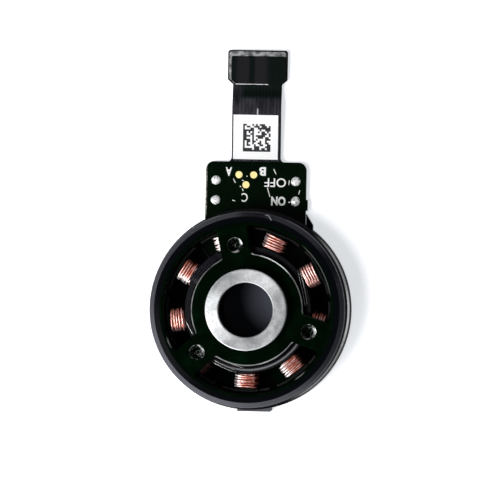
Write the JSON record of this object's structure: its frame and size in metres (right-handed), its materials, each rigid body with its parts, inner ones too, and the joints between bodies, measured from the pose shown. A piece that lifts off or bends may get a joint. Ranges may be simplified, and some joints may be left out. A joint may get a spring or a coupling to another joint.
{
  "type": "hollow-shaft brushless motor",
  "caption": "Flat brushless outrunner motor with a hollow shaft, a windowed bell over wound teeth, and a circuit board with a short flex tail ending in a connector.",
  "frame": {"origin": "on the motor's axis, in the flat face of the base that the motor rests on", "axes": "+Z along the motor's axis, from the base towards the hollow shaft's open end; +Y along the board and flex tail, towards the connector"},
  "size_m": [0.0298, 0.0535, 0.0088],
  "materials": {
    "black_anodised": "satin",
    "bare_steel": "satin",
    "laminated_steel": "matte",
    "bearing_steel": "polished",
    "shaft_metal": "matte",
    "epoxy_magnet": "satin",
    "black_moulding": "matte",
    "enamelled_copper": "glossy",
    "black_board": "glossy",
    "sensor_black": "matte",
    "solder": "bright",
    "gold_pad": "bright",
    "black_film": "satin",
    "white_label": "matte"
  },
  "bodies": {
    "stator": {"base_housing": "black_anodised", "stator_core": "laminated_steel", "upper_insulator": "black_moulding", "lower_insulator": "black_moulding", "coil_1": "enamelled_copper", "coil_2": "enamelled_copper", "coil_3": "enamelled_copper", "coil_4": "enamelled_copper", "coil_5": "enamelled_copper", "coil_6": "enamelled_copper", "coil_7": "enamelled_copper", "coil_8": "enamelled_copper", "coil_9": "enamelled_copper", "phase_leads": "enamelled_copper", "upper_outer_race": "bearing_steel", "lower_outer_race": "bearing_steel", "circuit_board": "black_board", "hall_sensors": "sensor_black", "solder_joints": "solder", "test_pads": "gold_pad", "flex_tail": "black_film", "code_label": "white_label", "stiffener_plate": "bare_steel", "stiffener_pad": "black_moulding", "connector_housing": "sensor_black", "connector_contacts": "gold_pad"},
    "rotor": {"rotor_bell": "black_anodised", "flux_ring": "bare_steel", "magnet_1": "epoxy_magnet", "magnet_2": "epoxy_magnet", "magnet_3": "epoxy_magnet", "magnet_4": "epoxy_magnet", "magnet_5": "epoxy_magnet", "magnet_6": "epoxy_magnet", "magnet_7": "epoxy_magnet", "magnet_8": "epoxy_magnet", "magnet_9": "epoxy_magnet", "magnet_10": "epoxy_magnet", "magnet_11": "epoxy_magnet", "magnet_12": "epoxy_magnet", "hollow_shaft": "shaft_metal", "retaining_ring": "bearing_steel", "upper_inner_race": "bearing_steel", "lower_inner_race": "bearing_steel"},
    "upper_rollers": {"upper_ball_ring": "bearing_steel"},
    "lower_rollers": {"lower_ball_ring": "bearing_steel"}
  },
  "joints": [
    {"name": "rotor_spin", "type": "hinge", "parent": "stator", "child": "rotor", "pos_m": [0, 0, 0.004], "axis": [0, 0, 1], "continuous": true},
    {"name": "upper_rollers_spin", "type": "hinge", "parent": "stator", "child": "upper_rollers", "pos_m": [0, 0, 0.004], "axis": [0, 0, 1], "continuous": true},
    {"name": "lower_rollers_spin", "type": "hinge", "parent": "stator", "child": "lower_rollers", "pos_m": [0, 0, 0.004], "axis": [0, 0, 1], "continuous": true}
  ],
  "couplings": [
    {"joint": "upper_rollers_spin", "follows": "rotor_spin", "ratio": 0.46429},
    {"joint": "lower_rollers_spin", "follows": "rotor_spin", "ratio": 0.46429}
  ]
}
